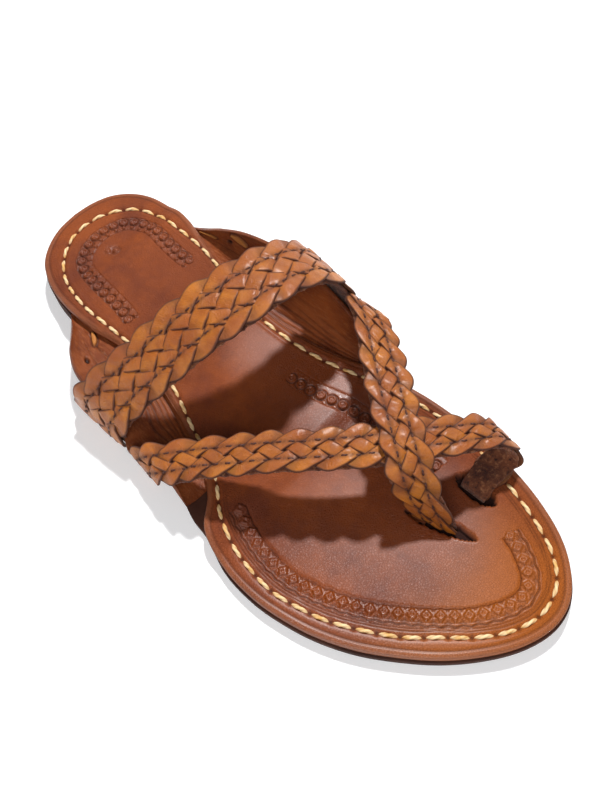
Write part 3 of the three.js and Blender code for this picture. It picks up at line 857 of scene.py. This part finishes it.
# Outer-face edges: front x, y, z and rear x, y, z, from one root to the other.
BAND = [
    (-44.5, -67, 2.0, -44, -49.5, 3.4), (-52.5, -68.5, 1.9, -52, -48, 2.8),
    (-57, -70, 2.2, -56.5, -47, 2.8), (-59.4, -73, 4.5, -58.8, -43.5, 5.0),
    (-59.4, -75, 11.5, -59.2, -44.5, 12.5),
    (-57, -76.5, 18.5, -56.8, -47.5, 21), (-49, -79.5, 26, -48, -53, 30),
    (-40, -84.5, 34.5, -37.5, -58.5, 37.5), (-29.5, -89.5, 42.5, -25.5, -62.5, 44),
    (-18, -94.5, 49.5, -12.5, -67, 50), (-6, -99, 53.5, 1, -71, 53.5),
    (6, -101, 54.5, 13, -74.5, 54.5), (18, -102, 52, 24.5, -76.5, 52),
    (29.5, -103.5, 46, 34.5, -78.5, 46), (38, -105, 35, 41.5, -80.5, 35),
    (41.5, -106, 20, 43, -80.5, 20), (40.2, -105.5, 6.5, 40.6, -80, 6.5),
    (36.5, -105, 2.7, 37, -79.5, 3.3), (28, -104.5, 2.1, 27, -80, 3.2),
]
LOOP_STRAP = [
    (-48, -91, 1.8, -47.5, -77, 2.6), (-54.5, -92, 1.8, -54, -76.5, 2.4),
    (-58.8, -92.5, 2.4, -58.2, -76, 3.0), (-60.9, -93.5, 5.5, -59.4, -76.5, 5.5),
    (-62.5, -98, 11.5, -58.8, -79.5, 13),
    (-60, -105.5, 18.5, -54, -86, 18.5), (-53, -112.5, 22.5, -42, -100, 23),
    (-44.5, -123, 26, -32, -112.5, 27), (-36.5, -132.5, 29, -24, -122, 29.5),
    (-28, -142.5, 30.5, -15.5, -132, 31), (-18, -153.5, 31.4, -5.5, -142, 31.5),
    (-7.5, -163.5, 31.2, 4.5, -151, 31.6), (4, -172, 30, 15, -160, 30.8),
    (13.5, -178.5, 28, 24, -167, 28), (22, -183.5, 26, 29.5, -171.5, 26),
    (29, -187.5, 21.5, 33, -174.5, 21.5), (32.5, -190.5, 14.5, 34.5, -176, 14.5),
    (30.5, -191.6, 8.6, 31.5, -176.8, 8.6), (25, -191, 6.9, 25, -177.5, 6.9),
    (18.5, -190.5, 6.9, 18.5, -178, 6.9), (15.2, -190.3, 5.8, 15.2, -178.2, 5.8),
    (14.5, -190.2, 3.8, 14.5, -178.3, 3.8),
]
POST_STRAP = [
    (-4.4, -190.5, 3.8, -9.5, -173, 3.8), (-4.3, -187.5, 12, -10.8, -172, 12),
    (-2, -181, 20.5, -12.8, -169.5, 20), (2.5, -174.5, 28.5, -13, -166, 28.5),
    (6, -168, 33.6, -9, -160.5, 33.6), (11.5, -160.5, 34, -3, -152.5, 34.2),
    (18, -152.5, 34.3, 4, -142.5, 35), (24.5, -144.5, 33.6, 12, -133, 35.5),
    (29.5, -137, 33.2, 20, -123.5, 35.8), (34, -130, 32.8, 28.5, -114, 35.5),
    (38, -123, 31, 35.6, -104, 33.5), (41.2, -121.5, 24.5, 40.6, -102.5, 25),
    (42, -123.5, 15, 42, -104.5, 15), (38, -125.5, 6, 39.4, -108, 6),
    (34.5, -125.3, 2.2, 35.8, -108.5, 2.4), (27, -124.5, 1.9, 27.5, -108.5, 1.9),
]

braid_leather, tone, where = leather("braid_leather", coat_roughness=0.25)
blotch = tone.noise(where, 95, 4, 0.62).ease(0.3, 0.7)
fade = tone.noise(where, 33).ease(0.4, 0.68)
pores = tone.pores(where, 1700, 0.1)
strip_way = {"X": tone.mark("run"), "Y": tone.mark("side") * 0.28}
on_strip = tone.node("ShaderNodeCombineXYZ", (), strip_way)
wrinkle = tone.noise(on_strip, 2.3, 4, 0.62)
tile = tone.noise(on_strip, 0.11, 1).ease(0.38, 0.62)
colour = blotch.blend((0.33, 0.082, 0.005, 1), (0.62, 0.2, 0.012, 1))
colour = (tile * 0.5).blend(colour, (0.4, 0.09, 0.008, 1))
colour = (fade * 0.4).blend(colour, (0.3, 0.062, 0.011, 1))
colour = (wrinkle.ease(0.5, 0.72) * 0.35).blend(colour, (0.3, 0.07, 0.012, 1))
rim, dark = tone.mark("rim"), tone.mark("dark")
# Dark strip edges: partly dye left in the grooves, partly painted shade between the strips.
colour = (rim * 0.92).blend(colour, (0.06, 0.012, 0.004, 1))
# Painted shade where strips dip under their neighbours, along the pressed sewing rows and on their
# undersides.
colour = dark.blend(colour, (0.03, 0.007, 0.004, 1))
hollow = tone.maths("MAXIMUM", rim, dark)
rough = 0.22 + tone.noise(where, 330, 4) * 0.3 + hollow * 0.4
glaze = (1 - hollow) * 0.1
set_finish(tone, colour, rough, wrinkle * 2.2 + pores * 0.6, 0.22, glaze)

# A strip's thickness, the level of the braid's middle, a strip's rise over its neighbours,
# and how deep the sewing presses it.
STRIP_THICKNESS, BRAID_MIDDLE, LIFT_OVER, PRESSED = 1.28, -1.12, 0.42, 0.36
# Section of one strip: half widths across and half thicknesses up, rounded at its sides.
STRIP_SECTION = np.array([
    (-1, -0.1), (-0.985, 0.5), (-0.93, 0.8), (-0.72, 0.93), (-0.36, 1.01), (0, 1.04),
    (0.36, 1.01), (0.72, 0.93), (0.93, 0.8), (0.985, 0.5), (1, -0.1), (0.8, -0.85),
    (-0.8, -0.85), (-1, -0.1),
])


def section(points, v):
    """Where shares v of the way round a section's points lie."""
    count = len(points)
    return [np.interp(v * (count - 1), np.arange(count), points[:, k]) for k in (0, 1)]


class Strap:
    """The path of a strap's outer face: lengthwise, across towards the rear, and out."""

    def __init__(self, rows, half_width):
        table = np.asarray(rows, float)
        t = np.linspace(0, 1, 900)
        front, rear = spline(table[:, :3], t), spline(table[:, 3:], t)
        middle = (front + rear) / 2
        self.run = lengths(middle)
        self.length = self.run[-1]
        ahead = np.gradient(middle, axis=0)
        across = rear - front
        self.scale = np.linalg.norm(across, axis=1) / 2 / half_width
        across /= np.linalg.norm(across, axis=1)[:, None]
        out = np.cross(ahead, across)
        out /= np.linalg.norm(out, axis=1)[:, None]
        self.middle, self.across, self.out = middle, across, out

    def at(self, s, v, w):
        """Points at lengths s, offsets v towards the rear, and heights w above the face."""
        def pick(table):
            return np.column_stack([np.interp(s, self.run, table[:, k]) for k in range(3)])

        wide = v * np.interp(s, self.run, self.scale)
        return pick(self.middle) + pick(self.across) * wide[:, None] + pick(self.out) * w[:, None]


class Braid:
    """A flat braid, each strip over one and under one, on a strap's path."""

    def __init__(self, strap, strips, pitch, reach, strip_width, seams):
        self.strap, self.strips, self.reach = strap, strips, reach
        self.strip_width, self.seams = strip_width, seams
        self.period = strips * pitch
        self.bend = 0.94 if strips > 4 else 0.93

    def line(self, strip, s):
        """Offset, slope and height of a strip's middle line at lengths s. The height runs
        from -1 under its neighbours to 1 over them."""
        phase = 2 * math.pi * (s / self.period + strip / self.strips)
        turn = np.sin(phase)
        v = self.reach * np.arcsin(self.bend * turn) / math.asin(self.bend)
        slope = self.reach / math.asin(self.bend) * self.bend * np.cos(phase)
        slope = slope / np.sqrt(1 - (self.bend * turn) ** 2) * 2 * math.pi / self.period
        top = (phase + math.pi / 2) % (2 * math.pi) - math.pi
        low = (phase - math.pi / 2) % (2 * math.pi) - math.pi
        n = self.strips
        height = np.where(top < 0, -np.cos(n * top), np.cos(n * top))
        height = np.where(np.abs(top) < math.pi / n, -np.sin(n * top / 2), height)
        height = np.where(np.abs(low) < math.pi / n, np.sin(n * low / 2), height)
        return v, slope, np.tanh(1.9 * height) / math.tanh(1.9)

    def press(self, v):
        """How far the rows of sewing press the braid in, from 0 to 1."""
        return sum(groove(v, row, 0.75) for row in self.seams)

    def face(self, s, v):
        """Height of the topmost strip at a spot."""
        best = np.full(len(s), -3.0)
        for strip in range(self.strips):
            middle, slope, height = self.line(strip, s)
            apart = np.abs(v - middle) / np.sqrt(1 + slope**2)
            on = apart < self.strip_width / 2
            best = np.where(on, np.maximum(best, BRAID_MIDDLE + LIFT_OVER * height + 0.66), best)
        return best

    def add_strip(self, bm, strip, step=0.62):
        length = self.strap.length
        half = self.strip_width / 2

        def place(u, v):
            s = u * length
            a, b = section(STRIP_SECTION, v)
            middle, slope, height = self.line(strip, s)
            size = np.sqrt(1 + slope**2)
            tip = np.sqrt(np.clip(np.minimum(s, length - s) / 1.2, 0, 1))
            turned = (middle / self.reach) ** 8
            wide = half * (1 + 0.1 * turned + 0.03 * np.sin(s * 0.9 + 2.1 * strip)) * a * tip
            spot_s = np.clip(s - slope / size * wide, 0, length)
            spot_v = middle + wide / size
            pressed = self.press(spot_v)
            w = BRAID_MIDDLE + LIFT_OVER * height + STRIP_THICKNESS / 2 * b * tip
            w = w - PRESSED * pressed * (height > -0.3)
            w = w + 0.07 * np.sin(s * 1.7 + 2.3 * strip) * (b > 0)
            # The rim mark darkens the strip edges: partly dye left in the grooves, partly painted
            # shade.
            rim = smooth(0.78, 0.93, np.abs(a))
            # Painted shade: darker where a strip dips under its neighbours, along the pressed
            # sewing rows, and on its underside.
            dark = np.clip(0.4 * smooth(0, -1, height) + 0.62 * pressed * (b > 0), 0, 0.9)
            dark = np.maximum(dark, 0.7 * (b < -0.5))
            marks = {"rim": rim, "dark": dark, "run": s + 37.0 * strip, "side": wide}
            return self.strap.at(spot_s, spot_v, w), marks

        lay_grid(bm, int(length / step), len(STRIP_SECTION) - 1, place)


braids = {
    "instep_band": Braid(Strap(BAND, 14.6), 6, 12.4, 11.25, 6.9, (6.3, -6.9)),
    "toe_loop_strap": Braid(Strap(LOOP_STRAP, 8.6), 4, 10.7, 6.0, 5.3, (3.4, -3.4)),
    "toe_post_strap": Braid(Strap(POST_STRAP, 8.6), 4, 10.7, 6.0, 5.3, (3.4, -3.4)),
}
for name, braid in braids.items():
    bm = new_mesh("rim", "dark", "run", "side")
    for strip in range(braid.strips):
        braid.add_strip(bm, strip)
    finish_piece(bm, name, braid_leather, "braid_leather", "upper")

# ---- strap lining
# A strip of thin rough leather, flesh side out, under each braid. It is cut a little
# narrower than the braid and sewn to it, and its edges are slightly frayed.

lining_leather, tone, where = leather("lining_leather", specular=0.25, sheen=0.1)
nap = tone.noise(where, 1300, 4, 0.7)
blotch = tone.noise(where, 120, 4).ease(0.3, 0.7)
speck = tone.noise(where, 520, 5, 0.75)
colour = blotch.blend((0.075, 0.018, 0.009, 1), (0.2, 0.06, 0.022, 1))
colour = (speck.ease(0.5, 0.68) * 0.7).blend(colour, (0.4, 0.17, 0.075, 1))
colour = (1 - speck.ease(0.34, 0.47)).blend(colour, (0.03, 0.008, 0.005, 1))
set_finish(tone, colour, 0.62 + nap * 0.15, nap + speck * 1.5, 0.5)

# Section of the lining: half widths across and millimetres under the strap's outer face.
LINING_SECTION = np.array([
    (-0.9, -2.3), (-0.97, -2.5), (-0.98, -2.95), (-0.92, -3.2), (0, -3.2), (0.92, -3.2),
    (0.98, -2.95), (0.97, -2.5), (0.9, -2.3), (0, -2.2), (-0.9, -2.3),
])
bm = new_mesh()
for braid in braids.values():
    length = braid.strap.length
    wide = braid.reach + braid.strip_width / 2 - 0.9

    def place(u, v, braid=braid, length=length, wide=wide):
        s = u * length
        a, w = section(LINING_SECTION, v)
        tip = np.sqrt(np.clip(np.minimum(s, length - s), 0, 1))
        frayed = 1 + 0.02 * np.sin(1.3 * s + 5 * a) + 0.012 * np.sin(3.7 * s)
        side = a * wide * frayed * (0.7 + 0.3 * tip)
        return braid.strap.at(s, side, -2.7 + (w + 2.7) * tip), {}

    lay_grid(bm, int(length), len(LINING_SECTION) - 1, place)
finish_piece(bm, "strap_lining", lining_leather, "braid_leather")

# ---- strap thread
# Two rows of dark waxed thread down each strap, in short running stitches, hold the braid
# flat and fasten it to its lining.

dark_thread, tone, where = leather("dark_thread", specular=0.4)
strand = tone.mark("ply")
# Painted shade in the groove between the plies.
colour = strand.blend((0.09, 0.022, 0.01, 1), (0.022, 0.007, 0.004, 1))
fluff = tone.noise(where, 2600, 2)
set_finish(tone, colour, 0.5 + fluff * 0.2, fluff, 0.1)

bm = new_mesh("ply")
for braid in braids.values():
    pitch = 4.3 if braid.strips > 4 else 4.6
    for row in braid.seams:
        for s0 in np.arange(3, braid.strap.length - 4, pitch):
            def path(t, s0=s0, row=row, braid=braid, pitch=pitch):
                s = s0 + 0.6 * pitch * t
                face = braid.face(s, 0 * s + row)
                face = np.maximum(face, face.mean()) - 0.3
                rise = -0.55 + 0.62 * np.sin(math.pi * np.clip(t, 0, 1)) ** 0.5
                return braid.strap.at(s, 0 * s + row, face + rise)

            start, level = np.array([s0]), np.array([0.0])
            lift_way = braid.strap.at(start, level, level + 1) - braid.strap.at(start, level, level)
            add_stitch(bm, path, lift_way[0], 0.85, 1.0, 6, 6)
finish_piece(bm, "strap_thread", dark_thread, "braid_leather")

# ---- floor, light and camera
# A plain pale floor that the sandal stands on, with a small hard key light behind it and a
# wide soft fill in front. The camera looks down on it from beside the toe.

bpy.ops.mesh.primitive_plane_add(size=6)
floor = bpy.context.object
floor.name = "floor"
floor_paint = bpy.data.materials.new("floor_paint")
floor_paint.use_nodes = True
paint = floor_paint.node_tree.nodes["Principled BSDF"]
paint.inputs["Base Color"].default_value = (0.86, 0.86, 0.87, 1)
paint.inputs["Roughness"].default_value = 0.9
paint.inputs["Emission Color"].default_value = (1, 1, 1, 1)
paint.inputs["Emission Strength"].default_value = 0.24
floor.data.materials.append(floor_paint)

SHOT_FROM = Vector((-0.108, -0.245, 0.292))
SHOT_AXIS = Vector((0.4534, 0.3798, -0.8063))
AIM = Vector((-0.001, -0.112, 0.010))


def add_light(name, place, power, size):
    lamp = bpy.data.lights.new(name, "AREA")
    lamp.energy, lamp.size = power, size
    holder = bpy.data.objects.new(name, lamp)
    holder.location = place
    aim = AIM - Vector(place)
    holder.rotation_mode = "QUATERNION"
    holder.rotation_quaternion = aim.to_track_quat("-Z", "Y")
    bpy.context.scene.collection.objects.link(holder)


add_light("key", (0.53, 0.20, 0.985), 16, 0.08)
add_light("fill", (-0.66, -0.6, 0.8), 7.5, 0.8)

world = bpy.data.worlds.new("studio")
world.use_nodes = True
sky = world.node_tree.nodes["Background"]
sky.inputs["Color"].default_value = (0.97, 0.98, 1.0, 1)
sky.inputs["Strength"].default_value = 0.17
bpy.context.scene.world = world
bpy.context.scene.view_settings.view_transform = "Standard"

camera = bpy.data.objects.new("camera", bpy.data.cameras.new("camera"))
camera.data.lens = 39
camera.location = SHOT_FROM
straight = SHOT_AXIS.to_track_quat("-Z", "Y")
camera.rotation_mode = "QUATERNION"
camera.rotation_quaternion = SHOT_AXIS.rotation_difference(AIM - SHOT_FROM) @ straight
camera.data.clip_start = 0.01
bpy.context.scene.collection.objects.link(camera)
bpy.context.scene.camera = camera
